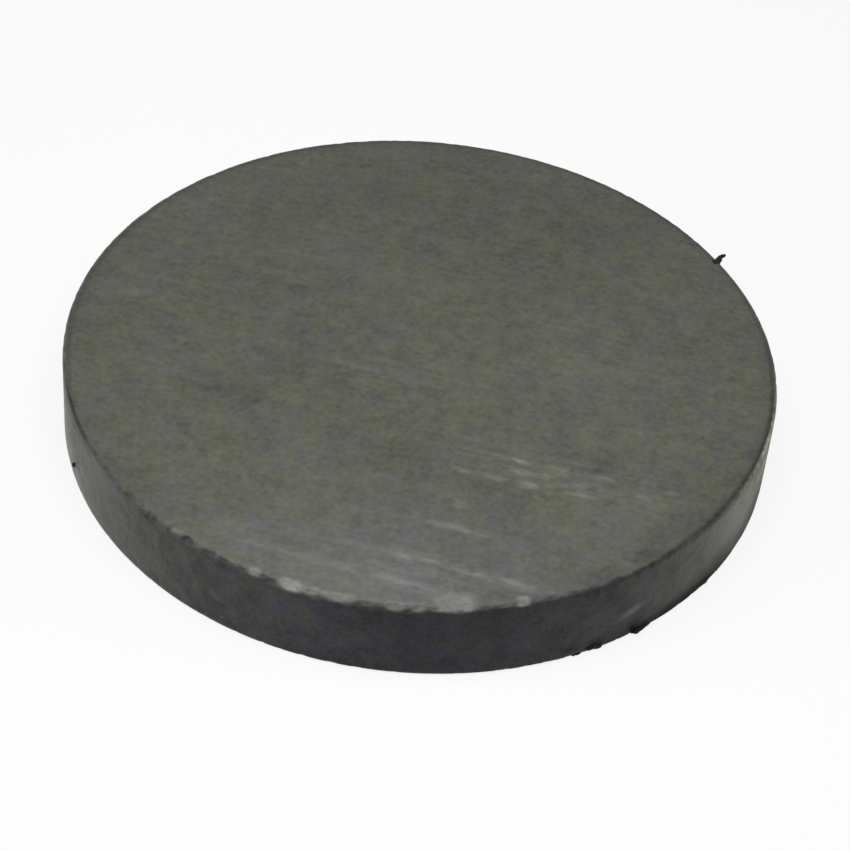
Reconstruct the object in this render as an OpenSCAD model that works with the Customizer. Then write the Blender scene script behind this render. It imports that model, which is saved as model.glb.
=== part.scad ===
// Ferrite disc magnet: one pressed and sintered piece. Its two faces are
// ground flat and parallel, its rim is left as sintered, both edges are a
// little worn, and brittle flakes have broken away along the upper edge.
// Sizes are in millimetres. The origin is the centre of the lower face and
// +Z is the axis of the disc, which is also the way it is magnetised.

/* [Disc] */
// Diameter across the rim
disc_d = 38.1; // [20:0.1:80]
// Thickness between the two ground faces
disc_t = 4.76; // [2.5:0.01:15]

/* [Edges] */
// Radius worn onto the upper edge
upper_edge_r = 0.15; // [0.05:0.01:0.5]
// Radius worn onto the lower edge
lower_edge_r = 0.25; // [0.05:0.01:0.5]

/* [Largest chip] */
// Where it lies, as an angle around the disc from +X
big_chip_angle = -81.5; // [-180:0.5:180]
// Length along the edge
big_chip_length = 1.9; // [1:0.1:4]
// Reach inwards across the upper face
big_chip_reach = 0.9; // [0.3:0.05:2]
// Drop down the rim
big_chip_drop = 0.35; // [0.1:0.05:0.45]

/* [Hidden] */
disc_r = disc_d / 2;
// Segments around the disc, around an edge radius and around a chip
disc_segments = 360;
edge_segments = 48;
chip_segments = 72;
// How far a cutter runs past the surface that it cuts
overcut = 0.1;
// The smaller chips along the worn stretch of the upper edge, in order:
// angle around the disc, length along the edge, reach inwards, drop down the rim
small_chips = [
    [-130.5, 0.9, 0.12, 0.35],
    [-127, 0.9, 0.1, 0.14],
    [-124, 0.8, 0.32, 0.38],
    [-120, 0.6, 0.22, 0.28],
    [-117, 0.9, 0.18, 0.3],
    [-114, 0.6, 0.16, 0.28],
    [-112, 0.7, 0.3, 0.22],
    [-109, 0.9, 0.16, 0.42],
    [-106, 1.4, 0.48, 0.36],
    [-103, 0.9, 0.26, 0.26],
    [-98.8, 1.7, 0.32, 0.3],
    [-94.5, 1.4, 0.2, 0.28],
    [-90.5, 1.2, 0.34, 0.32],
    [-87, 0.9, 0.34, 0.28],
    [-84.6, 0.7, 0.2, 0.28],
    [-77.2, 1, 0.22, 0.28],
    [-74.2, 1, 0.2, 0.24],
    [-71.5, 0.6, 0.4, 0.24],
    [-67.8, 1, 0.14, 0.18],
    [-62, 0.6, 0.2, 0.22],
    [-56, 0.7, 0.2, 0.3]
];

// A flake breaks away as a shallow bowl. The sphere that leaves it passes
// through both ends of the chip on the edge, through the end of its reach on
// the face and through the end of its drop on the rim. These give its centre
// outwards and upwards from the edge, and its radius.
function bowl_out(length, reach) = (length * length / 4 - reach * reach) / (2 * reach);
function bowl_up(length, drop) = (length * length / 4 - drop * drop) / (2 * drop);
function bowl_r(length, reach, drop) =
    norm([bowl_out(length, reach), bowl_up(length, drop), length / 2]);

// What wear takes off a square edge, in the corner that x and y both point
// out of: the edge's square without its quarter circle
module edge_wear(r) {
    difference() {
        translate([-r, -r])
            square(r + overcut);
        translate([-r, -r])
            circle(r = r, $fn = edge_segments);
    }
}

// Half of the disc's section, from its axis out to the rim
module half_section() {
    difference() {
        square([disc_r, disc_t]);
        translate([disc_r, disc_t])
            edge_wear(upper_edge_r);
        translate([disc_r, 0])
            mirror([0, 1])
                edge_wear(lower_edge_r);
    }
}

// The bowl that one flake leaves in the upper edge
module chip(angle, length, reach, drop) {
    rotate([0, 0, angle])
        translate([disc_r + bowl_out(length, reach), 0, disc_t + bowl_up(length, drop)])
            sphere(r = bowl_r(length, reach, drop), $fn = chip_segments);
}

module magnet_disc() {
    color("#62635c")
        difference() {
            rotate_extrude($fn = disc_segments)
                half_section();
            chip(big_chip_angle, big_chip_length, big_chip_reach, big_chip_drop);
            for (c = small_chips)
                chip(c[0], c[1], c[2], c[3]);
        }
}

magnet_disc();
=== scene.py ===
# The looks of a worn ferrite disc magnet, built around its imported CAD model.
# Blender and the frame are in metres. The sizes in this file are in
# millimetres and degrees unless they say otherwise, and MM makes them metres.
import math
from collections import namedtuple

import bmesh
import bpy
import numpy as np
from mathutils import Euler, Matrix, Vector, noise
from mathutils.bvhtree import BVHTree


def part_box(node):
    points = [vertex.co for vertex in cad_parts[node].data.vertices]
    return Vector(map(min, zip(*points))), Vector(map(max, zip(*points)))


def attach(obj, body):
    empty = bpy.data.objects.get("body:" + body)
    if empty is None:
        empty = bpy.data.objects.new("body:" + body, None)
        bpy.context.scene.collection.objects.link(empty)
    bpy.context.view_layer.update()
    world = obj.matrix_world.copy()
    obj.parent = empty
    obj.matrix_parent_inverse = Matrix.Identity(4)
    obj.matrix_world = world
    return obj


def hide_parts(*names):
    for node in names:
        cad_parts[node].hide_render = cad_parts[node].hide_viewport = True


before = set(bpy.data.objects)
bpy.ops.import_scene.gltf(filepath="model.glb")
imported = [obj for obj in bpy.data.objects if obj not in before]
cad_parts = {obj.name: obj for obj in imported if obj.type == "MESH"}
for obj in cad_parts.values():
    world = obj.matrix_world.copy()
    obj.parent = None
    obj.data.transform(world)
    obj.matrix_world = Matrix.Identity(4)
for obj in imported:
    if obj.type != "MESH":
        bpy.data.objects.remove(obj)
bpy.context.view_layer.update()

MM = 0.001
NODE = "magnet_disc"
BODY = "root"
LOW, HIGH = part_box(NODE)
RADIUS = (HIGH.x - LOW.x) / 2 / MM
THICKNESS = (HIGH.z - LOW.z) / MM


# ---------------------------------------------------------------- camera

CAMERA_ELEVATION = 42.05
CAMERA_ROLL = 5.26
CAMERA_DISTANCE = 7.064 * RADIUS
CAMERA_LENS = 110.1
CAMERA_SENSOR = 36.0
CAMERA_NEAREST, CAMERA_FARTHEST = 10, 10000
# The point on the upper face that the camera looks at
CAMERA_AIM = Vector((0.027 * RADIUS, -0.309 * RADIUS, THICKNESS))


def make_camera():
    """The scene's camera, in front of the disc and above it, rolled a little."""
    data = bpy.data.cameras.new("camera")
    data.lens = CAMERA_LENS
    data.sensor_width = CAMERA_SENSOR
    data.clip_start = CAMERA_NEAREST * MM
    data.clip_end = CAMERA_FARTHEST * MM
    tilt = Euler((math.radians(90 - CAMERA_ELEVATION), 0, 0)).to_matrix()
    roll = Matrix.Rotation(math.radians(CAMERA_ROLL), 3, "Z")
    turn = tilt @ roll
    place = (CAMERA_AIM + turn @ Vector((0, 0, CAMERA_DISTANCE))) * MM
    camera = bpy.data.objects.new("camera", data)
    camera.matrix_world = Matrix.Translation(place) @ turn.to_4x4()
    bpy.context.scene.collection.objects.link(camera)
    bpy.context.scene.camera = camera


make_camera()


# -------------------------------------------- the section of the unbroken disc

# Segments around the rim. It divides by 3 for the three rows of the rim's
# texture map, and by 32 for the coarser rings towards the middle of a face.
RIM_SEGMENTS = 1536
TEXTURE_ROWS = 3
# Steps from ring to ring in the quarter turn of a worn edge
EDGE_STEPS = 5
# The worn stretch of the upper edge, around the disc from +X, how much closer
# together its segments are than the rest, and how long its soft ends are
WORN_FROM, WORN_TO = -137.0, -50.0
WORN_FINENESS = 2.6
WORN_FADE = 5.0

# How many angles the spacing of the segments is worked out at
ANGLE_SAMPLES = 7201

# How many rim segments make one of a face's rings, up to each depth in from
# the edge, and further in
FACE_STEPS = [(1.6, 1), (3.2, 2), (6.0, 4), (10.0, 8), (14.5, 16)]
COARSEST_STEP = 32
# The lower face lies on the floor, so its rings are at least so coarse, and
# each next step comes so much nearer the edge
LOWER_FACE_STEP = 2
LOWER_FACE_LEAD = 1.5

# How far off a flat face a point of the CAD mesh may lie and count as on it
FLATNESS = 0.00005

# A ring of the disc's mesh. r and z place it, outlook is the way that the
# unbroken surface faces there (up from the horizontal), along is its distance
# down the section from the middle of the upper edge, less than 0 on the upper
# face, step is how many rim segments make one of its own, and part is the
# surface that it is on.
Ring = namedtuple("Ring", "r z outlook along step part")


def worn_radius(z):
    """The radius worn onto the edge at height z, from where the CAD solid's flat face ends."""
    corners = [v.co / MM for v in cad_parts[NODE].data.vertices]
    reach = max(math.hypot(c.x, c.y) for c in corners if abs(c.z - z) < FLATNESS)
    return RADIUS - reach


UPPER_EDGE = worn_radius(THICKNESS)
LOWER_EDGE = worn_radius(0.0)
UPPER_CORNER = math.pi / 2 * UPPER_EDGE
LOWER_CORNER = math.pi / 2 * LOWER_EDGE
WALL = THICKNESS - UPPER_EDGE - LOWER_EDGE


def spread(length, first, growth, largest):
    """Distances from 0 to length in steps that grow from about first up to about largest."""
    steps = [first]
    while sum(steps) < length:
        steps.append(min(steps[-1] * growth, largest))
    return np.concatenate([[0.0], np.cumsum(steps)]) * length / sum(steps)


def coarseness(depth):
    """How many rim segments make one of a ring's, so far in from the edge of a face."""
    return next((step for limit, step in FACE_STEPS if depth < limit), COARSEST_STEP)


def upper_face_rings():
    end = RADIUS - UPPER_EDGE
    for depth in spread(end, first=0.07, growth=1.09, largest=0.8)[-2:0:-1]:
        along = -UPPER_CORNER / 2 - depth
        yield Ring(end - depth, THICKNESS, 90.0, along, coarseness(depth), "upper_face")


def upper_edge_rings():
    for share in np.linspace(0, 1, EDGE_STEPS + 1):
        turn = math.radians(90 * share)
        r = RADIUS - UPPER_EDGE * (1 - math.sin(turn))
        z = THICKNESS - UPPER_EDGE * (1 - math.cos(turn))
        yield Ring(r, z, 90 * (1 - share), UPPER_CORNER * (share - 0.5), 1, "upper_edge")


def rim_rings():
    for depth in spread(WALL, first=0.06, growth=1.12, largest=0.28)[1:-1]:
        z = THICKNESS - UPPER_EDGE - depth
        yield Ring(RADIUS, z, 0.0, UPPER_CORNER / 2 + depth, 1, "rim")


def lower_edge_rings():
    start = UPPER_CORNER / 2 + WALL
    for share in np.linspace(0, 1, EDGE_STEPS + 1):
        turn = math.radians(90 * share)
        r = RADIUS - LOWER_EDGE * (1 - math.cos(turn))
        z = LOWER_EDGE * (1 - math.sin(turn))
        yield Ring(r, z, -90 * share, start + LOWER_CORNER * share, 1, "lower_edge")


def lower_face_rings():
    end = RADIUS - LOWER_EDGE
    start = UPPER_CORNER / 2 + WALL + LOWER_CORNER
    for depth in spread(end, first=0.18, growth=1.35, largest=1.6)[1:-1]:
        step = max(LOWER_FACE_STEP, coarseness(depth + LOWER_FACE_LEAD))
        yield Ring(end - depth, 0.0, -90.0, start + depth, step, "lower_face")


RINGS = [
    *upper_face_rings(),
    *upper_edge_rings(),
    *rim_rings(),
    *lower_edge_rings(),
    *lower_face_rings(),
]


# --------------------------------------------------------- wear and breakage

# How far the chips may reach from the upper edge, across the face and down
# the rim, and how far outside the unbroken disc the CAD solid is looked for
CHIP_ZONE_FACE = 1.5
CHIP_ZONE_RIM = 0.9
CHIP_ZONE_START = -UPPER_CORNER / 2 - CHIP_ZONE_FACE
CHIP_ZONE_END = UPPER_CORNER / 2 + CHIP_ZONE_RIM
LOOK_FROM = 0.3
# The flats of the CAD mesh lie this deep, and aren't chips
CAD_FLATS = 0.014
# How far a chip's outline wanders around the disc
RAGGED_AROUND = 0.14
# Where each point is looked up, as distances around the disc
SOFTENED = [-0.2, -0.1, 0, 0.1, 0.2]
# How unevenly deep the chips are, as a share of their depth
CHIP_ROUGHNESS = 0.07

# The grains missing along the upper edge: how far from it they lie, how deep
# they are, how much deeper in the worn stretch, and what is added to the noise
# that places them, so that more of the edge loses some
RAGGED_REACH = 0.22
RAGGED_DEPTH = 0.03
RAGGED_WORN = 0.09
RAGGED_EXTRA = 0.1
# The nibbling of the lower edge: how far from it and how deep
NIBBLED_REACH = 0.2
NIBBLED_DEPTH = 0.05
# The lumps of the rim: how high the broad and the small ones are, and how far
# from the edges they are whole
BROAD_LUMPS = 0.012
SMALL_LUMPS = 0.005
LUMPS_FADE = 0.4
# Wear fainter than this share of the whole is left out
NEGLIGIBLE = 0.01

# Each seed takes its noise from this much further on, and each octave of it is
# fainter and finer than the one before by these
NOISE_SHIFT = Vector((17.3, 5.1, 9.7))
NOISE_OCTAVE = (0.9, 2.1)


def noise_at(points, size, octaves, seed):
    """Smooth noise, about -1 to 1, with blobs about size across, at each point."""
    shift = NOISE_SHIFT * seed
    return np.array([
        noise.fractal(Vector(p) / size + shift, *NOISE_OCTAVE, octaves)
        for p in points
    ])


def smooth_step(x, start, end):
    """0 before start, 1 after end, and a smooth rise between them."""
    t = np.clip((x - start) / (end - start), 0, 1)
    return t * t * (3 - 2 * t)


def worn_stretch(degrees):
    """1 along the worn stretch of the upper edge, 0 elsewhere, with soft ends."""
    start = smooth_step(degrees, WORN_FROM - WORN_FADE, WORN_FROM)
    end = smooth_step(degrees, WORN_TO, WORN_TO + WORN_FADE)
    return start * (1 - end)


def rim_angles():
    """The angle of each rim segment in degrees, closest together along the worn stretch."""
    fine = np.linspace(-180, 180, ANGLE_SAMPLES)
    density = 1 + (WORN_FINENESS - 1) * worn_stretch(fine)
    total = np.concatenate([[0], np.cumsum((density[1:] + density[:-1]) / 2)])
    wanted = np.arange(RIM_SEGMENTS) / RIM_SEGMENTS * total[-1]
    return np.interp(wanted, total, fine)


def directions(degrees, outlooks):
    """The outward directions at angles around the disc and outlooks up from the horizontal."""
    around, up = np.radians(degrees), np.radians(outlooks)
    return np.stack([np.cos(around) * np.cos(up), np.sin(around) * np.cos(up), np.sin(up)], 1)


def section(along):
    """The radius, height and outlook of the unbroken disc at distances down its section."""
    table = np.array([ring[:4] for ring in RINGS])
    return [np.interp(along, table[:, 3], table[:, k]) for k in range(3)]


def chip_depths(base, degrees, along):
    """How far each point is broken away. It is where the CAD solid lies below the unbroken surface,
    looked up a little to one side or the other, so that the chips have ragged outlines, and evened
    out over SOFTENED, so that their edges are dull."""
    depths = np.zeros(len(base))
    zone = np.flatnonzero((along > CHIP_ZONE_START) & (along < CHIP_ZONE_END))
    wander = noise_at(base[zone], size=0.35, octaves=2, seed=5)
    around = degrees[zone] + np.degrees(RAGGED_AROUND / RADIUS) * wander
    tree = BVHTree.FromObject(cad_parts[NODE], bpy.context.evaluated_depsgraph_get())
    for step in SOFTENED:
        near = around + np.degrees(step / RADIUS)
        depths[zone] += cad_depths(tree, near, along[zone]) / len(SOFTENED)
    depths[zone] *= 1 + CHIP_ROUGHNESS * noise_at(base[zone], size=0.5, octaves=2, seed=7)
    return depths


def cad_depths(tree, degrees, along):
    """How far below the unbroken disc the CAD solid lies, at each angle and distance down the
    section."""
    r, z, outlooks = section(along)
    ways = directions(degrees, chip_outlooks(along, outlooks))
    turns = np.radians(degrees)
    origins = np.stack([r * np.cos(turns), r * np.sin(turns), z], 1) + ways * LOOK_FROM
    depths = np.zeros(len(degrees))
    for i, (origin, way) in enumerate(zip(origins, ways)):
        hit = tree.ray_cast(Vector(origin) * MM, Vector(-way))
        if hit[0] is not None:
            depths[i] = max(0.0, hit[3] / MM - LOOK_FROM - CAD_FLATS)
    return depths


def chip_outlooks(along, outlooks):
    """The way that wear is measured: straight in on a face or the rim, and turning evenly between
    them near the upper edge."""
    inside = (along > CHIP_ZONE_START) & (along < CHIP_ZONE_END)
    turned = 90 * (CHIP_ZONE_END - along) / (CHIP_ZONE_END - CHIP_ZONE_START)
    return np.where(inside, turned, outlooks)


def ragged_edge(base, degrees, along):
    """The grains missing along the upper edge, most of them in the worn stretch."""
    lost = np.zeros(len(base))
    near = np.exp(-(along / RAGGED_REACH) ** 2)
    zone = near > NEGLIGIBLE
    depth = RAGGED_DEPTH + RAGGED_WORN * worn_stretch(degrees[zone])
    missing = np.maximum(0, noise_at(base[zone], size=0.55, octaves=2, seed=1) + RAGGED_EXTRA)
    lost[zone] = near[zone] * depth * missing
    return lost


def lower_edge_loss(base, along):
    """The softer nibbling of the lower edge."""
    middle = UPPER_CORNER / 2 + WALL + LOWER_CORNER / 2
    lost = np.zeros(len(base))
    near = np.exp(-((along - middle) / NIBBLED_REACH) ** 2)
    zone = near > NEGLIGIBLE
    missing = np.maximum(0, noise_at(base[zone], size=0.8, octaves=3, seed=4))
    lost[zone] = near[zone] * NIBBLED_DEPTH * missing
    return lost


def rim_lumps(base, along):
    """The unevenness of a rim left as sintered."""
    start = UPPER_CORNER / 2
    end = start + WALL
    lumps = np.zeros(len(base))
    inside = smooth_step(along, start, start + LUMPS_FADE)
    inside *= 1 - smooth_step(along, end - LUMPS_FADE, end)
    zone = inside > 0
    broad = noise_at(base[zone], size=2.6, octaves=3, seed=2)
    small = noise_at(base[zone], size=0.5, octaves=2, seed=3)
    lumps[zone] = inside[zone] * (BROAD_LUMPS * broad + SMALL_LUMPS * small)
    return lumps


# ------------------------------------------------------------- the disc's mesh

# The texture map: the middle and the half width of each face on it, and the
# left end, the width, the top, the spacing and the height of the rim's rows
UPPER_FACE_MAP = (0.352, 0.352, 0.345)
LOWER_FACE_MAP = (0.85, 0.15, 0.14)
ROW_LEFT, ROW_WIDTH = 0.005, 0.99
ROW_TOP, ROW_SPACING, ROW_HEIGHT = 0.995, 0.098, 0.09

# How far the outlines of the bruises wander up and down near the upper edge,
# how near that is, and how much further the lip's outline wanders
WANDER = 0.09
WANDER_ZONE = 1.5
LIP_WANDER = 2.2
# The depths between which a place along the edge comes to count as chipped
CHIPPED_DEPTHS = (0.02, 0.07)


def bridge(few, many):
    """The faces between two rings of vertices, where the second has as many as the first or twice
    as many."""
    n = len(few)
    after = np.roll(few, -1)
    if len(many) == n:
        return list(zip(few, many, np.roll(many, -1), after))
    start, middle = many[::2], many[1::2]
    end = np.roll(start, -1)
    return [
        *zip(few, start, middle),
        *zip(few, middle, after),
        *zip(after, middle, end),
    ]


def between(first, second):
    """The faces between two neighbouring rings, facing out."""
    if len(second) >= len(first):
        return bridge(first, second)
    return [tuple(reversed(face)) for face in bridge(second, first)]


def face_part(first, second):
    """The part that the faces between two neighbouring rings are on."""
    return second.part if first.part.endswith("edge") else first.part


def map_corner(part, ring, angle, place, row):
    """Where a vertex lies on the texture map. The upper face fills most of it, with the lower face
    beside it, and the edges and the rim lie in rows above."""
    if part == "upper_face":
        x, y, half_width = UPPER_FACE_MAP
        reach = half_width * ring.r / RADIUS
        return x + reach * math.cos(angle), y + reach * math.sin(angle)
    if part == "lower_face":
        x, y, half_width = LOWER_FACE_MAP
        reach = half_width * ring.r / RADIUS
        return x - reach * math.cos(angle), y + reach * math.sin(angle)
    depth = (ring.along + UPPER_CORNER / 2) / (UPPER_CORNER + WALL + LOWER_CORNER)
    return ROW_LEFT + ROW_WIDTH * place, ROW_TOP - ROW_SPACING * row - ROW_HEIGHT * depth


def add_texture_map(mesh, parts, ring_of, column_of):
    """The disc's own texture map. The lower face is rarely seen and gets less room than the
    rest."""
    layer = mesh.uv_layers.new(name="OFBake")
    per_row = RIM_SEGMENTS // TEXTURE_ROWS
    angles = np.radians(rim_angles())
    for polygon, part in zip(mesh.polygons, parts):
        row = min(column_of[polygon.vertices[0]] // per_row, TEXTURE_ROWS - 1)
        for loop in polygon.loop_indices:
            vertex = mesh.loops[loop].vertex_index
            ring, column = RINGS[ring_of[vertex]], column_of[vertex]
            place = (column - row * per_row) % RIM_SEGMENTS / per_row
            layer.data[loop].uv = map_corner(part, ring, angles[column], place, row)


def lay_out_rings():
    """The vertices of each ring, and the ring and the rim segment that each vertex is on."""
    rows, ring_of, column_of = [], [], []
    for k, ring in enumerate(RINGS):
        columns = np.arange(0, RIM_SEGMENTS, ring.step)
        rows.append(len(ring_of) + np.arange(len(columns)))
        ring_of.extend([k] * len(columns))
        column_of.extend(columns)
    return rows, np.array(ring_of), np.array(column_of)


def join_rings(rows):
    """The faces of the mesh, with the part that each is on."""
    faces, parts = [], []
    for k in range(len(RINGS) - 1):
        new = between(rows[k], rows[k + 1])
        faces.extend(new)
        parts.extend([face_part(RINGS[k], RINGS[k + 1])] * len(new))
    faces.append(tuple(rows[0]))
    faces.append(tuple(reversed(rows[-1])))
    parts.extend(["upper_face", "lower_face"])
    return faces, parts


def add_wear(mesh, base, degrees, along, broken, column_of):
    """Stores on the mesh how far each point is broken away, how pale it is bruised and lightened by
    a painted highlight, how far it is on the pale lip, which is partly painted light, and how dark
    the line along the upper edge is there."""
    wander = along.copy()
    near = np.flatnonzero(np.abs(along) < WANDER_ZONE)
    wander[near] += WANDER * noise_at(base[near], size=0.5, octaves=3, seed=9)
    lip_wander = along + LIP_WANDER * (wander - along)
    deepest = np.zeros(RIM_SEGMENTS)
    np.maximum.at(deepest, column_of, broken)
    chipped = smooth_step(deepest[column_of], *CHIPPED_DEPTHS)
    wear = {
        "broken": broken,
        "bruised_and_highlit": bruising_and_highlights(degrees, wander),
        "lip": pale_lip(degrees, lip_wander, chipped),
        "line": edge_line(degrees, along),
    }
    for name, values in wear.items():
        attribute = mesh.attributes.new(name, "FLOAT", "POINT")
        attribute.data.foreach_set("value", values.astype(np.float32))


def add_materials(mesh, parts):
    """Gives each face of the mesh its material. The worn edges have the rim's."""
    upper_marks = UPPER_SHADES, UPPER_BRUSHED, UPPER_STREAKS
    lower_marks = LOWER_SHADES, LOWER_BRUSHED, LOWER_STREAKS
    materials = {
        "upper_face": ground_face("ground_upper_face", 1, *upper_marks),
        "lower_face": ground_face("ground_lower_face", 11, *lower_marks),
        "rim": sintered_rim(),
    }
    for material in materials.values():
        mesh.materials.append(material)
    order = list(materials)
    for polygon, part in zip(mesh.polygons, parts):
        polygon.material_index = order.index("rim" if part.endswith("edge") else part)


def add_disc():
    """The disc as one dense mesh, with its wear."""
    rows, ring_of, column_of = lay_out_rings()
    table = np.array([ring[:4] for ring in RINGS])[ring_of]
    r, z, outlooks, along = table.T
    degrees = rim_angles()[column_of]
    around = np.radians(degrees)
    base = np.stack([r * np.cos(around), r * np.sin(around), z], 1)
    ways = directions(degrees, chip_outlooks(along, outlooks))
    broken = np.maximum(chip_depths(base, degrees, along), ragged_edge(base, degrees, along))
    lost = broken + lower_edge_loss(base, along) + rim_lumps(base, along)
    points = base - ways * lost[:, None]

    faces, parts = join_rings(rows)
    mesh = bpy.data.meshes.new("magnet")
    mesh.from_pydata((points * MM).tolist(), [], [tuple(map(int, face)) for face in faces])
    mesh.shade_smooth()
    add_texture_map(mesh, parts, ring_of, column_of)
    add_wear(mesh, base, degrees, along, broken, column_of)
    add_materials(mesh, parts)
    disc = bpy.data.objects.new("magnet", mesh)
    bpy.context.scene.collection.objects.link(disc)
    return disc


# ------------------------------------------------------------------ materials

# Where the upper edge is bruised pale, a paleness that is partly a painted highlight on
# chip facets that catch the light: the angle of each place around the disc, half its
# width in degrees, its reach across the face, its drop down the rim and how pale it is
BRUISES_AND_HIGHLIGHTS = [
    (-126.0, 1.2, 0.30, 0.20, 0.25),
    (-112.0, 1.1, 0.40, 0.15, 0.60),
    (-106.0, 2.1, 0.42, 0.32, 0.95),
    (-103.0, 1.6, 0.32, 0.30, 0.45),
    (-99.0, 3.2, 0.38, 0.30, 0.45),
    (-90.4, 1.9, 0.36, 0.32, 0.32),
    (-87.2, 1.4, 0.36, 0.26, 0.22),
    (-81.5, 3.5, 1.05, 0.18, 0.50),
    (-71.3, 1.1, 0.50, 0.10, 0.70),
    (-62.0, 1.0, 0.30, 0.05, 0.12),
]
# Where the upper edge is as pale as the face, which is partly painted light: the worn
# rounding and its chips are painted as pale as the face, as if lit like it. The angle
# around the disc, how far down the rim, and how pale it is there at whole places and
# at chipped ones
LIP = [
    (-180, 0.05, 0.6, 0.5),
    (-134, 0.10, 0.9, 0.2),
    (-131, 0.30, 1.0, 0.0),
    (-110, 0.30, 1.0, 0.0),
    (-108, 0.38, 1.0, 1.0),
    (-89, 0.36, 1.0, 1.0),
    (-85, 0.20, 1.0, 1.0),
    (-74, 0.18, 0.9, 0.9),
    (-70, 0.05, 0.6, 0.5),
    (-66, 0.05, 0.3, 0.2),
    (-52, 0.02, 0.2, 0.1),
    (-46, 0.0, 0.4, 0.3),
    (180, 0.0, 0.4, 0.3),
]
# The dark line along the upper edge: the angle around the disc, how far down the
# section it lies from the middle of the edge, and how dark it is
LINE = [
    (-180, -0.25, 0.30),
    (-170, -0.25, 0.30),
    (-160, -0.1, 0.28),
    (-150, 0.2, 0.28),
    (-140, 0.3, 0.25),
    (-128, 0.45, 0.10),
    (-120, 0.45, 0.05),
    (-66, 0.30, 0.15),
    (-58, 0.25, 0.30),
    (-50, 0.05, 0.42),
    (-42, -0.13, 0.55),
    (-30, -0.17, 0.64),
    (-10, -0.18, 0.60),
    (20, -0.16, 0.30),
    (180, -0.25, 0.30),
]

# How a bruise and its painted highlight fade: above and below its drop, between two
# shares of its width, and between two shares of its reach, which is less towards its ends
PALE_ABOVE, PALE_BELOW = 0.12, 0.15
PALE_WIDTH_FADE = (0.4, 1.2)
PALE_REACH_FADE = (0.5, 1.3)
PALE_ROUNDING = 0.1
# How far above and below its drop the lip fades
LIP_FADE = 0.08
# The dark line's core and the fainter shade beside it: how dark each is, and
# between which distances it fades
CORE_SHARE, CORE_FADE = 0.8, (0.05, 0.24)
SHADE_SHARE, SHADE_FADE = 0.2, (0.2, 0.8)

# The way that the faces were ground, around from +X
LAY = -12.0
# How strongly a streak shows, beside the amount in its row
STREAK_STRENGTH = 0.28
# Soft paler and darker places on the faces: where their middle is, half their
# length, half their width, the way they lie and how much paler they are
UPPER_SHADES = [
    # Painted light and shade: this first row lightens the front of the upper face and the next one
    # darkens its back, as the light falls on it
    (-3.0, -20.5, 20.0, 14.0, 0, 0.40),
    (6.0, 13.0, 17.0, 11.0, -20, -0.14),
    (8.0, -8.9, 9.0, 2.2, -13, 0.10),
    (-10.8, -4.6, 7.0, 0.70, -11, -0.13),
    (9.5, -7.4, 5.0, 0.50, -12, -0.13),
    (-15.0, -6.0, 8.0, 9.0, 0, 0.06),
    (11.0, -13.0, 7.0, 5.0, 0, 0.17),
    (-2.0, -17.2, 4.5, 1.3, 0, 0.10),
    (5.8, -16.9, 2.2, 0.9, 15, 0.07),
    (7.8, 12.2, 4.6, 1.8, -33, -0.10),
    (13.0, 11.0, 3.5, 2.0, -40, 0.06),
    (-6.0, 4.0, 4.5, 1.6, 0, -0.07),
    (10.2, -15.7, 5.0, 1.2, 33, -0.20),
    (11.9, -14.0, 1.2, 0.7, 40, -0.30),
    (4.9, -17.7, 1.5, 0.6, 15, -0.18),
    (13.3, -12.1, 5.2, 1.4, 48, -0.33),
    (9.35, -12.05, 0.4, 0.3, 0, -0.35),
    (11.7, -5.0, 0.35, 0.35, 0, 0.45),
    (5.0, 0.0, 15.0, 9.0, -12, 0.07),
]
# Streaks on the faces, given in the same way
UPPER_STREAKS = [
    (5.4, -8.0, 1.0, 0.36, -13, 1.10),
    (4.4, -7.7, 0.9, 0.30, -13, 0.45),
    (7.1, -8.3, 0.7, 0.34, -13, 0.85),
    (7.9, -8.5, 0.5, 0.34, -13, 0.90),
    (5.7, -8.8, 1.0, 0.34, -13, 0.85),
    (6.8, -8.9, 0.6, 0.34, -13, 0.90),
    (6.1, -9.7, 1.0, 0.44, -10, 0.85),
    (4.3, -9.3, 0.9, 0.42, -13, 0.65),
    (2.6, -9.0, 0.9, 0.38, -13, 0.65),
    (8.6, -9.3, 0.7, 0.36, -13, 0.75),
    (8.7, -10.1, 1.2, 0.32, -10, 0.70),
    (9.9, -8.7, 0.9, 0.34, -13, 0.50),
    (11.2, -9.2, 1.0, 0.34, -13, 0.50),
    (11.8, -9.8, 0.9, 0.32, -13, 0.45),
    (13.3, -9.4, 0.5, 0.40, 0, 0.50),
    (2.7, -11.6, 0.7, 0.42, 0, 0.65),
    (6.5, -8.8, 6.5, 1.60, -13, 0.14),
    (3.6, -16.3, 5.7, 0.44, -13, 0.95),
    (-0.8, -15.3, 3.7, 0.46, -13, 0.50),
    (-3.8, -16.4, 8.2, 0.50, -14, 0.45),
    (0.4, -17.5, 3.2, 0.65, -14, 0.45),
    (2.7, -13.3, 4.4, 0.42, -10, 0.60),
    (-15.2, 2.6, 3.5, 0.90, 8, 0.25),
    (-2.6, -1.9, 5.0, 0.50, -12, 0.20),
]
# Places where the marks of grinding are plainest, given in the same way
UPPER_BRUSHED = [
    (7.0, -8.8, 10.0, 2.6, -13, 0.20),
    (1.0, -16.2, 11.0, 2.4, -13, 0.14),
    (-2.0, -2.5, 9.0, 2.5, -12, 0.08),
]
# The same three for the lower face
LOWER_SHADES = [
    (-9.0, -6.0, 7.0, 3.0, 20, -0.10),
    (8.0, 9.0, 9.0, 5.0, -30, 0.08),
]
LOWER_BRUSHED = [(-3.0, 6.0, 10.0, 3.0, -12, 0.15)]
LOWER_STREAKS = [
    (-6.0, 7.5, 9.0, 0.4, -11, 0.30),
    (3.0, -11.0, 6.0, 0.3, -13, 0.35),
    (9.0, 3.0, 4.0, 0.25, -12, 0.40),
]
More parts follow.
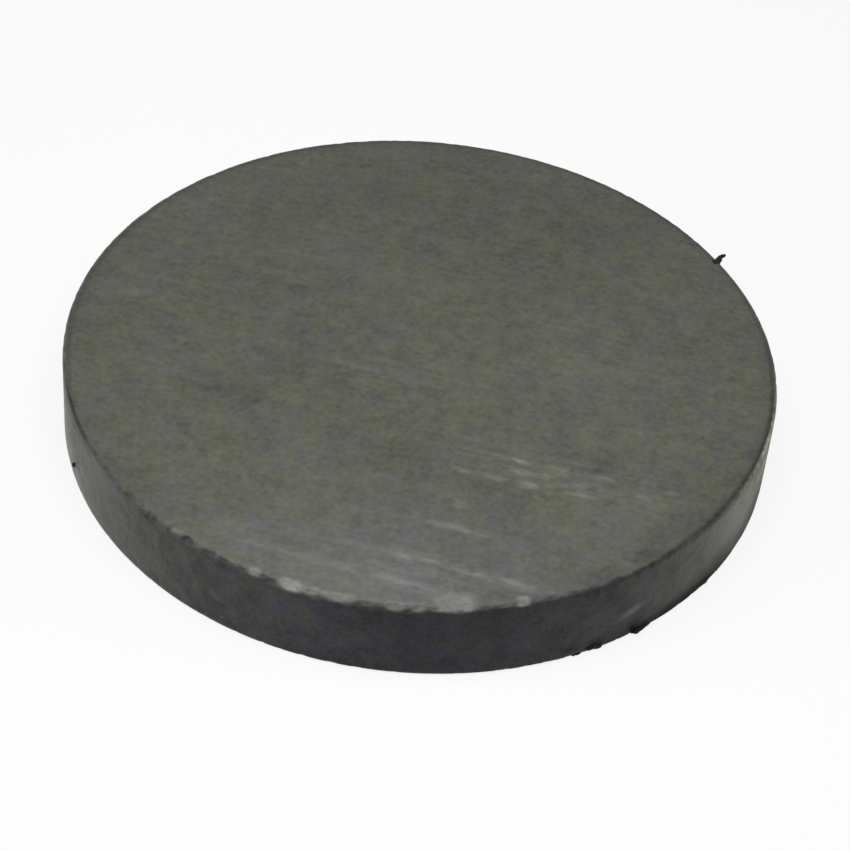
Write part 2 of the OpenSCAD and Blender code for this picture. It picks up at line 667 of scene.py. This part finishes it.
# Paler and darker places on the rim: the angle around the disc and the height
# of their middle, and then the same. Some of them are painted light and shade, as marked
RIM_SHADES = [
    (-52.1, 1.88, 1.5, 0.45, 17, 1.90),
    (-56.2, 3.5, 1.8, 0.70, -62, -0.42),
    (-51.0, 3.0, 1.5, 1.0, -30, 0.15),
    (-68.0, 1.7, 1.8, 0.8, 0, 0.22),
    (-119.0, 2.3, 1.6, 0.8, 10, 0.15),
    (-47.5, 0.45, 6.6, 0.85, 0, -0.40),
    # Painted light: lightens the rim at the front left, to shape how the light falls off around it
    (-115.0, 2.2, 8.0, 4.0, 0, 0.16),
    # Painted shade: darkens the left of the rim, so that its reflection brightens more steeply
    # towards the outline
    (-148.0, 2.4, 4.5, 4.5, 0, -0.28),
    (-63.0, 0.70, 1.1, 0.50, 0, -0.50),
    (-58.2, 0.75, 0.8, 0.50, 0, -0.50),
    (-51.5, 0.80, 1.0, 0.65, 0, -0.55),
    # Painted shadow in a small hollow just below the upper edge
    (-110.0, 4.25, 1.0, 0.30, 0, -0.25),
    # Painted shade along the top of the rim on the left
    (-153.0, 4.30, 4.5, 1.00, 0, -0.30),
]
# Pale dust and dull dirt on the rim, given in the same way. The dust at -15 degrees is
# also a painted sheen, paler towards the top of the rim on the right. The dirt at -46, -31
# and -15 degrees along the lower right, and at -158 degrees along the top on the left, is
# also painted shade
RIM_DUST_AND_SHEEN = [
    (-15.0, 3.80, 7.5, 4.20, 0, 0.90),
    (140.0, 3.00, 16.0, 4.50, 0, 0.20),
]
RIM_DIRT_AND_SHADE = [
    (-46.0, 0.25, 7.5, 0.95, 0, 0.65),
    (-31.0, 0.30, 8.0, 2.30, 0, 0.60),
    (-15.0, 1.20, 4.0, 2.60, 0, 0.40),
    (-160.0, 2.60, 7.0, 4.50, 0, 0.24),
    (-158.0, 4.60, 4.5, 1.30, 0, 0.30),
    (-45.3, 3.50, 1.0, 0.60, -45, 0.22),
    (-38.0, 2.60, 0.9, 0.50, -45, 0.22),
    (-56.2, 3.50, 1.8, 0.70, -62, 0.22),
]
# The front of the upper face, where a painted sheen makes the colours cooler,
# and the front of the rim, where painted shade makes them darker and bluer,
# given in the same way but without an amount
FACE_FRONT_SHEEN = (0, -22, 22, 15, 0)
RIM_FRONT_SHADE = (-88, 2.4, 24, 60, 0)


def colour(red, green, blue):
    """A colour as a screen shows it, 0 to 255 each, in the form that a shader takes."""
    shares = [c / 255 for c in (red, green, blue)]
    linear = [s / 12.92 if s < 0.04045 else ((s + 0.055) / 1.055) ** 2.4 for s in shares]
    return (*linear, 1.0)


# The colours of the surfaces. A pair is mixed in soft blotches.
FACE_COLOURS = colour(84, 83, 80), colour(85, 87, 74)
# Painted sheen: cooler, more neutral colours at the front of the upper face
FACE_SHEEN_COLOURS = colour(84, 84, 87), colour(84, 87, 80)
SCRAPED = colour(168, 169, 165)
RIM_COLOURS = colour(84, 84, 77), colour(86, 86, 71)
# Painted shade: the rim's front, which the light reaches least, is darker and bluer
RIM_SHADE_COLOURS = colour(74, 74, 86), colour(76, 79, 76)
# The lip's colour on the rounding, partly painted light
RIM_LIP = colour(90, 91, 85)
# Pale dust, partly a painted sheen, and dull dirt, partly painted shade
DUST_AND_SHEEN = colour(184, 185, 167)
DIRT_AND_SHADE = colour(50, 50, 48)
BROKEN_STONE = colour(73, 74, 76)
# Partly painted light: broken ferrite on the lip is paler, so that chips facing away from the light
# don't look shaded
BROKEN_LIP = colour(102, 103, 97)
# Pale colour of the bruises, partly a painted highlight on chip facets
BRUISE_AND_HIGHLIGHT = colour(152, 155, 148)
IRON_COLOURS = colour(22, 22, 25), colour(31, 30, 27)
# How rough the broken ferrite, the dust with its painted sheen, and the dirt with its
# painted shade are
BROKEN_ROUGHNESS = 0.65
DUST_AND_SHEEN_ROUGHNESS = 0.75
DIRT_AND_SHADE_ROUGHNESS = 0.85
# The depths between which the surface comes to look broken
BROKEN_DEPTHS = (0.015, 0.070)

# A size that nothing on the disc comes near
FAR = 10000.0
# How far apart the noises of two seeds lie, as shares of their size, and the
# pits of two seeds, in millimetres
SEED_STEPS = (7.3, 3.1, 5.7)
PIT_SEED_STEPS = (3.3, 8.1, 1)
# How much the contrast of Blender's noise, which is around 0.5, is raised
NOISE_GAIN = 8.0


def around_rim(degrees, *rest):
    """A place on the rim, with its angle turned into the distance around the rim."""
    return (math.radians(degrees) * RADIUS, *rest)


class Shader:
    """A material and short ways to add nodes to it. Points in it are in millimetres."""

    def __init__(self, name, specular):
        self.material = bpy.data.materials.new(name)
        self.material.use_nodes = True
        self.tree = self.material.node_tree
        self.skin = self.tree.nodes["Principled BSDF"]
        self.skin.inputs["Specular IOR Level"].default_value = specular
        coordinates = self.tree.nodes.new("ShaderNodeTexCoord")
        self.point = self.vector("SCALE", coordinates.outputs["Object"], 1 / MM)

    def node(self, kind, values, output=0, **settings):
        """A node with these settings, and values or links in its named or numbered inputs."""
        node = self.tree.nodes.new(kind)
        for name, setting in settings.items():
            setattr(node, name, setting)
        for key, value in values.items():
            if isinstance(value, bpy.types.NodeSocket):
                self.tree.links.new(value, node.inputs[key])
            else:
                node.inputs[key].default_value = value
        return node.outputs[output]

    def math(self, operation, *values):
        return self.node("ShaderNodeMath", dict(enumerate(values)), operation=operation)

    def vector(self, operation, value, scale=1.0):
        output = 1 if operation == "LENGTH" else 0
        values = {0: value, 3: scale}
        return self.node("ShaderNodeVectorMath", values, output, operation=operation)

    def ramp(self, value, start, end, low=0.0, high=1.0):
        """low up to start, high from end, and a smooth change between them."""
        values = {0: value, 1: start, 2: end, 3: low, 4: high}
        return self.node("ShaderNodeMapRange", values, interpolation_type="SMOOTHSTEP")

    def placed(self, point, place, sizes, turn):
        """A point measured from a place, along axes turned about Z and in units of these sizes."""
        values = {0: point, 1: place, 2: (0, 0, math.radians(turn)), 3: sizes}
        return self.node("ShaderNodeMapping", values, vector_type="TEXTURE")

    def noise(self, size, seed, turn=0.0, stretch=(1, 1, 1), detail=2.0, roughness=0.5):
        """Noise around 0, mostly between -1 and 1, with blobs about size across before they are
        stretched along turned axes."""
        place = [size * seed * step for step in SEED_STEPS]
        point = self.placed(self.point, place, [size * s for s in stretch], turn)
        values = {"Vector": point, "Scale": 1.0, "Detail": detail, "Roughness": roughness}
        level = self.node("ShaderNodeTexNoise", values)
        return self.math("MULTIPLY_ADD", level, NOISE_GAIN, -NOISE_GAIN / 2)

    def patch(self, point, x, y, half_length, half_width, turn):
        """1 in the middle of a soft patch and 0 outside it."""
        away = self.placed(point, (x, y, 0), (half_length, half_width, FAR), turn)
        return self.ramp(self.vector("LENGTH", away), 0.0, 1.0, low=1.0, high=0.0)

    def patched(self, value, point, places, pattern=None, strength=1.0):
        """value, raised in each place by its amount times strength, and times the pattern if there
        is one."""
        for *place, amount in places:
            patch = self.patch(point, *place)
            if pattern is not None:
                patch = self.math("MULTIPLY", patch, pattern)
            value = self.total(value, (strength * amount, patch))
        return value

    def pits(self, spacing, widest, seed):
        """1 in small round pits up to so wide, about one to each spacing, and 0 outside them."""
        place = [seed * step for step in PIT_SEED_STEPS]
        point = self.placed(self.point, place, [spacing] * 3, 0)
        cell = {"Vector": point, "Scale": 1.0}
        away = self.node("ShaderNodeTexVoronoi", cell, "Distance")
        own_colour = self.node("ShaderNodeTexVoronoi", cell, "Color")
        chance = self.node("ShaderNodeSeparateColor", {0: own_colour})
        reach = self.math("MULTIPLY", chance, widest / 2 / spacing)
        return self.ramp(self.math("DIVIDE", away, reach), 0.5, 1.1, low=1.0, high=0.0)

    def height(self):
        return self.node("ShaderNodeSeparateXYZ", {0: self.point}, 2)

    def on_rim(self):
        """The distance around the rim from +X, and the height, as a flat point."""
        x = self.node("ShaderNodeSeparateXYZ", {0: self.point}, 0)
        y = self.node("ShaderNodeSeparateXYZ", {0: self.point}, 1)
        around = self.math("MULTIPLY", self.math("ARCTAN2", y, x), RADIUS)
        return self.node("ShaderNodeCombineXYZ", {0: around, 1: self.height()})

    def covering(self, point, places, uneven):
        """How far a surface is covered at these places on it, from 0 to 1."""
        share = self.math("MULTIPLY", self.patched(0.0, point, places), uneven)
        return self.math("MAXIMUM", self.math("MINIMUM", share, 1.0), 0.0)

    def attribute(self, name):
        return self.node("ShaderNodeAttribute", {}, "Fac", attribute_name=name)

    def total(self, start, *terms):
        """start plus the sum of each value times its amount."""
        value = start
        for amount, term in terms:
            value = self.math("MULTIPLY_ADD", term, amount, value)
        return value

    def mix(self, share, a, b, blend="MIX"):
        values = {0: share, 6: a, 7: b}
        return self.node("ShaderNodeMix", values, 2, data_type="RGBA", blend_type=blend)

    def blend(self, share, a, b):
        """The number a where share is 0 and b where it is 1."""
        return self.node("ShaderNodeMix", {0: share, 2: a, 3: b})

    def toned(self, base, tone):
        """A colour made lighter or darker by a tone, where 1 leaves it as it is."""
        grey = self.node("ShaderNodeCombineColor", {0: tone, 1: tone, 2: tone})
        return self.mix(1.0, base, grey, "MULTIPLY")

    def finish(self, base, roughness, height):
        """Sets the base colour, the roughness, and the relief in millimetres."""
        normal = self.node("ShaderNodeBump", {"Height": height, "Distance": MM, "Strength": 1.0})
        self.tree.links.new(base, self.skin.inputs["Base Color"])
        self.tree.links.new(roughness, self.skin.inputs["Roughness"])
        self.tree.links.new(normal, self.skin.inputs["Normal"])
        return self.material


def worn_edge(look, base, roughness, height):
    """The same base colour, roughness and relief, with the wear of the upper edge: dull broken
    ferrite where the mesh is broken away, a lip as pale as the face, which is partly painted
    light, paler bruises, which are partly a painted highlight, and a dark line."""
    mottle = look.noise(0.35, 31, detail=3, roughness=0.6)
    grain = look.noise(0.12, 32, detail=3, roughness=0.6)
    uneven = look.total(1.0, (0.10, mottle), (0.06, grain))
    depth = look.total(look.attribute("broken"), (0.006, mottle), (0.003, grain))
    share = look.ramp(depth, *BROKEN_DEPTHS)
    stone = look.mix(look.attribute("lip"), BROKEN_STONE, BROKEN_LIP)
    base = look.mix(share, base, look.toned(stone, uneven))
    patchy = look.total(1.0, (0.14, mottle), (0.05, grain))
    # Partly painted highlight: the bruises stand in for the light that chip facets catch
    bruised_and_highlit = look.math("MULTIPLY", look.attribute("bruised_and_highlit"), patchy)
    base = look.mix(bruised_and_highlit, base, BRUISE_AND_HIGHLIGHT)
    line = look.math("MULTIPLY", look.attribute("line"), look.total(1.0, (0.15, mottle)))
    base = look.toned(base, look.math("SUBTRACT", 1.0, line))
    relief = look.total(0.0, (0.003, mottle), (0.0015, grain))
    roughness = look.blend(share, roughness, BROKEN_ROUGHNESS)
    return base, roughness, look.blend(share, height, relief)


def ground_face(name, seed, shades, brushed, streaks):
    """Ferrite ground flat: warm grey and blotchy, with a fine grain, faint broken streaks along the
    lay, pits, and cooler colours at the front as a painted sheen."""
    look = Shader(name, specular=0.15)
    clouds = look.noise(4.0, seed, detail=3)
    mottle = look.noise(1.1, seed + 1, detail=4, roughness=0.7)
    grain = look.noise(0.3, seed + 2, detail=2, roughness=0.5)
    broad = look.noise(0.5, seed + 3, LAY, (9, 1, 1), detail=3, roughness=0.6)
    dashes = look.noise(0.30, seed + 4, LAY, (6, 1, 1), detail=3, roughness=0.6)
    pits = look.pits(spacing=1.6, widest=0.18, seed=seed)
    uneven = look.ramp(look.noise(7.0, seed + 5), -0.8, 0.8, low=0.1, high=1.1)
    tone = look.total(1.14, (0.06, clouds), (0.13, mottle), (0.11, grain), (0.03, broad))
    tone = look.total(tone, (0.05, look.math("MULTIPLY", dashes, uneven)), (-0.35, pits))
    tone = look.patched(tone, look.point, shades)
    tone = look.patched(tone, look.point, brushed, dashes)
    warm = look.ramp(look.noise(1.1, seed + 6, detail=4, roughness=0.7), -0.9, 0.9)
    # Painted sheen: the front of the face takes cooler colours
    painted_front = look.patch(look.point, *FACE_FRONT_SHEEN)
    base = look.mix(painted_front, look.mix(warm, *FACE_COLOURS), look.mix(warm, *FACE_SHEEN_COLOURS))
    base = look.toned(base, tone)
    streaky = look.noise(0.4, seed + 7, LAY, (3, 1, 1))
    broken_up = look.ramp(streaky, -0.8, 0.8, low=0.35, high=1.35)
    scraped = look.patched(0.0, look.point, streaks, broken_up, STREAK_STRENGTH)
    base = look.mix(scraped, base, SCRAPED)
    roughness = look.total(0.5, (0.04, mottle), (0.05, grain))
    height = look.total(0.0, (0.003, grain), (0.002, dashes), (0.002, broad), (-0.008, pits))
    return look.finish(*worn_edge(look, base, roughness, height))


def sintered_rim():
    """Ferrite as it came from the kiln: dark, grainy and blotchy, with painted shade that makes it
    darker and bluer towards the front and darker along the bottom, painted light and shade among
    its paler and darker places, and dust and dirt in places, some of it a painted sheen and
    painted shade."""
    look = Shader("sintered_rim", specular=0.10)
    rim = look.on_rim()
    clouds = look.noise(3.0, 21, detail=3)
    mottle = look.noise(0.9, 22, detail=3, roughness=0.65)
    grain = look.noise(0.2, 23, detail=2, roughness=0.6)
    pits = look.pits(spacing=1.2, widest=0.16, seed=25)
    # Painted shade: the rim darkens towards its bottom, where the lower edge turns into shadow near
    # the floor
    painted_bottom_shade = look.ramp(look.height(), 0.15, 0.7, low=1.0, high=0.0)
    tone = look.total(1.03, (0.10, clouds), (0.17, mottle), (0.13, grain))
    tone = look.total(tone, (-0.2, pits), (-0.15, painted_bottom_shade))
    # Painted shade: the front of the rim is darker and bluer than its sides
    painted_front = look.patch(rim, *around_rim(*RIM_FRONT_SHADE))
    elsewhere = look.math("SUBTRACT", 1.0, painted_front)
    tone = look.total(tone, (0.15, look.math("MULTIPLY", mottle, elsewhere)))
    tone = look.patched(tone, rim, [around_rim(*place) for place in RIM_SHADES])
    warm = look.ramp(look.noise(1.1, 26, detail=4, roughness=0.7), -0.9, 0.9)
    base = look.mix(painted_front, look.mix(warm, *RIM_COLOURS), look.mix(warm, *RIM_SHADE_COLOURS))
    base = look.toned(base, tone)
    base = look.mix(look.attribute("lip"), base, look.toned(RIM_LIP, tone))
    uneven = look.total(1.0, (0.15, mottle), (0.10, clouds))
    # Dust that is partly a painted sheen, and dirt that is partly painted shade
    dust_and_sheen = look.covering(rim, [around_rim(*place) for place in RIM_DUST_AND_SHEEN], uneven)
    dirt_and_shade = look.covering(rim, [around_rim(*place) for place in RIM_DIRT_AND_SHADE], uneven)
    base = look.mix(dust_and_sheen, base, look.toned(DUST_AND_SHEEN, tone))
    base = look.mix(dirt_and_shade, base, look.toned(DIRT_AND_SHADE, tone))
    roughness = look.total(0.27, (0.04, clouds), (0.06, mottle), (0.03, grain))
    roughness = look.blend(dust_and_sheen, roughness, DUST_AND_SHEEN_ROUGHNESS)
    roughness = look.blend(dirt_and_shade, roughness, DIRT_AND_SHADE_ROUGHNESS)
    relief = look.total(0.0, (0.004, mottle), (0.002, grain), (-0.006, pits))
    return look.finish(*worn_edge(look, base, roughness, relief))


def clinging_iron():
    """Dark iron grit."""
    look = Shader("iron_grit", specular=0.1)
    grain = look.noise(0.12, 41, detail=3, roughness=0.6)
    base = look.mix(look.ramp(grain, -1.0, 1.0), *IRON_COLOURS)
    return look.finish(base, look.total(0.5, (0.08, grain)), look.total(0.0, (0.01, grain)))


def bruising_and_highlights(degrees, along):
    """How pale the upper edge is bruised, and lightened by a painted highlight on chip facets,
    at each angle and distance down the section.
    """
    pale = np.zeros(len(degrees))
    for middle, half_width, reach, drop, amount in BRUISES_AND_HIGHLIGHTS:
        down = 1 - smooth_step(along, drop - PALE_ABOVE, drop + PALE_BELOW)
        away = np.abs(degrees - middle) / half_width
        inwards = -along / reach + PALE_ROUNDING * away ** 2
        fade = 1 - smooth_step(away, *PALE_WIDTH_FADE)
        fade *= 1 - smooth_step(inwards, *PALE_REACH_FADE)
        pale = np.maximum(pale, amount * fade * down)
    return pale


def pale_lip(degrees, along, chipped):
    """How far the upper edge is as pale as the face, where chipped is 0 at whole places and 1 at
    chipped ones."""
    angles, *columns = zip(*LIP)
    drop, at_whole, at_chipped = [np.interp(degrees, angles, column) for column in columns]
    share = at_whole + chipped * (at_chipped - at_whole)
    return share * (1 - smooth_step(along, drop - LIP_FADE, drop + LIP_FADE))


def edge_line(degrees, along):
    """How dark the line along the upper edge is, with a fainter shade beside it."""
    angles, *columns = zip(*LINE)
    place, darkness = [np.interp(degrees, angles, column) for column in columns]
    away = np.abs(along - place)
    core = 1 - smooth_step(away, *CORE_FADE)
    shade = 1 - smooth_step(away, *SHADE_FADE)
    return darkness * (CORE_SHARE * core + SHADE_SHARE * shade)


# --------------------------------------------------------------- clinging grit

# Grains of iron held by the magnet: the angle around the disc, how far outside
# the rim their middle is, their height, their sizes around the rim, outwards
# and upwards, and how far they rise outwards in degrees
GRAINS = [
    (32.1, -0.16, 4.68, 0.50, 0.54, 0.30, 0),
    (32.5, 0.10, 4.70, 0.36, 0.46, 0.30, 5),
    (32.9, 0.38, 4.76, 0.26, 0.56, 0.20, 5),
    (-61.9, -0.12, 0.13, 0.30, 0.26, 0.24, 0),
    (-61.2, -0.12, 0.15, 0.50, 0.28, 0.28, 0),
    (-58.9, -0.06, 0.35, 0.85, 0.36, 0.45, 0),
    (-57.8, -0.08, 0.25, 0.60, 0.40, 0.40, 0),
    (-51.3, -0.12, 0.50, 0.70, 0.36, 0.60, 0),
    (-51.0, 0.10, 0.28, 0.50, 0.32, 0.26, -5),
    (-50.3, 0.00, 0.20, 1.00, 0.30, 0.22, 0),
    (-49.0, -0.13, 0.27, 1.00, 0.42, 0.45, 0),
    (-35.5, -0.03, 0.38, 1.30, 0.24, 0.28, 0),
    (-34.6, -0.10, 0.13, 0.36, 0.22, 0.24, 0),
    (-31.4, -0.08, 0.26, 0.34, 0.20, 0.24, 0),
    (-157.0, 0.00, 1.12, 0.26, 0.26, 0.28, 0),
]
# The lumps of a grain: how high and how close together they are, as shares of
# its size, how much fainter and finer each octave is than the one before, how
# many octaves there are, and how far apart those of two grains are taken
GRAIN_LUMPS = 0.14
GRAIN_LUMPINESS = 2.4
GRAIN_OCTAVES = (0.8, 2.2, 3)
GRAIN_SEED_STEP = 3.7
# No grain reaches lower than this above the floor
GRIT_LOWEST = 0.01


def rough_grain(sizes, seed):
    """The vertices and faces of one rough grain with these sizes along its own axes."""
    work = bmesh.new()
    bmesh.ops.create_icosphere(work, subdivisions=3, radius=0.5)
    for vertex in work.verts:
        place = vertex.co * GRAIN_LUMPINESS + Vector((seed, 0, 0))
        vertex.co *= 1 + GRAIN_LUMPS * noise.fractal(place, *GRAIN_OCTAVES)
        vertex.co *= Vector(sizes)
    points = [v.co.copy() for v in work.verts]
    faces = [tuple(v.index for v in face.verts) for face in work.faces]
    work.free()
    return points, faces


def add_grit():
    """The grains of iron that cling to the edges, as one piece."""
    points, faces = [], []
    for number, (degrees, out, height, wide, deep, high, rise) in enumerate(GRAINS):
        around = math.radians(degrees)
        outwards = Vector((math.cos(around), math.sin(around), 0))
        middle = outwards * (RADIUS + out) + Vector((0, 0, height))
        turn = Matrix.Rotation(around, 3, "Z") @ Matrix.Rotation(-math.radians(rise), 3, "Y")
        grain_points, grain_faces = rough_grain((deep, wide, high), number * GRAIN_SEED_STEP)
        start = len(points)
        for point in grain_points:
            place = middle + turn @ point
            points.append(Vector((place.x, place.y, max(place.z, GRIT_LOWEST))) * MM)
        faces.extend(tuple(start + v for v in face) for face in grain_faces)
    mesh = bpy.data.meshes.new("clinging_grit")
    mesh.from_pydata(points, [], faces)
    mesh.shade_smooth()
    mesh.materials.append(clinging_iron())
    grit = bpy.data.objects.new("clinging_grit", mesh)
    bpy.context.scene.collection.objects.link(grit)
    return grit


# ------------------------------------------------------- floor, world and lamps

# The length of the floor's sides
FLOOR_SIZE = 4000
# How bright the floor looks of itself, as a white backdrop, beside what the
# lamps and the disc's shadow make of it
FLOOR_GLOW = 0.86
# How much of its light the floor sends back onto the disc
FLOOR_BOUNCE = 0.20
# How bright the world is to the disc, where 1 is white
WORLD_LEVEL = 0.18
# Each lamp's name, place, the length of its sides, and its level in add_lamp
LAMPS = [
    ("top", (0, -24, 92), 60, 0.62),
    ("left", (-740, -130, 290), 400, 0.35),
    ("right", (745, 90, 290), 400, 0.13),
]


def seen_directly(tree):
    """1 for the rays that show the background: camera, glossy and transmission rays."""
    path = tree.nodes.new("ShaderNodeLightPath")
    value = path.outputs["Is Camera Ray"]
    for name in ("Is Glossy Ray", "Is Transmission Ray"):
        either = tree.nodes.new("ShaderNodeMath")
        either.operation = "MAXIMUM"
        tree.links.new(value, either.inputs[0])
        tree.links.new(path.outputs[name], either.inputs[1])
        value = either.outputs[0]
    return value


def grey_shader(tree, kind, level):
    shader = tree.nodes.new(kind)
    shader.inputs["Color"].default_value = (level, level, level, 1)
    return shader.outputs[0]


def mixed_shader(tree, share, a, b):
    mix = tree.nodes.new("ShaderNodeMixShader")
    for socket, value in zip(mix.inputs, (share, a, b)):
        if isinstance(value, float):
            socket.default_value = value
        else:
            tree.links.new(value, socket)
    return mix.outputs[0]


def add_floor():
    """A wide plain floor. Seen directly it is white and shows the disc's shadow."""
    half = FLOOR_SIZE / 2 * MM
    corners = [(-half, -half, 0), (half, -half, 0), (half, half, 0), (-half, half, 0)]
    mesh = bpy.data.meshes.new("floor")
    mesh.from_pydata(corners, [], [(0, 1, 2, 3)])
    material = bpy.data.materials.new("floor")
    material.use_nodes = True
    tree = material.node_tree
    lit = grey_shader(tree, "ShaderNodeBsdfDiffuse", 1.0)
    glow = grey_shader(tree, "ShaderNodeEmission", 1.0)
    bounce = grey_shader(tree, "ShaderNodeBsdfDiffuse", FLOOR_BOUNCE)
    seen = mixed_shader(tree, FLOOR_GLOW, lit, glow)
    surface = mixed_shader(tree, seen_directly(tree), bounce, seen)
    tree.links.new(surface, tree.nodes["Material Output"].inputs["Surface"])
    mesh.materials.append(material)
    floor = bpy.data.objects.new("floor", mesh)
    bpy.context.scene.collection.objects.link(floor)


def add_world():
    """A dim world that looks white where it is seen directly."""
    world = bpy.data.worlds.new("studio")
    world.use_nodes = True
    tree = world.node_tree
    dim = grey_shader(tree, "ShaderNodeBackground", WORLD_LEVEL)
    white = grey_shader(tree, "ShaderNodeBackground", 1.0)
    surface = mixed_shader(tree, seen_directly(tree), dim, white)
    tree.links.new(surface, tree.nodes["World Output"].inputs["Surface"])
    bpy.context.scene.world = world


def add_lamp(name, place, size, level):
    """A square soft lamp at a place in mm, aimed at the middle of the disc. It lights a white
    surface there that faces it to this level, where 1 is white."""
    place = Vector(place)
    data = bpy.data.lights.new(name, "AREA")
    data.size = size * MM
    data.energy = level * (math.pi * place.length * MM) ** 2
    lamp = bpy.data.objects.new(name, data)
    aim = place.to_track_quat("Z", "Y").to_matrix().to_4x4()
    lamp.matrix_world = Matrix.Translation(place * MM) @ aim
    lamp.visible_camera = False
    bpy.context.scene.collection.objects.link(lamp)


add_floor()
add_world()
for settings in LAMPS:
    add_lamp(*settings)
bpy.context.scene.view_settings.view_transform = "Standard"

# ------------------------------------------------------------------ the object

disc = add_disc()
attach(disc, BODY)
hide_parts(NODE)

grit = add_grit()
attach(grit, BODY)
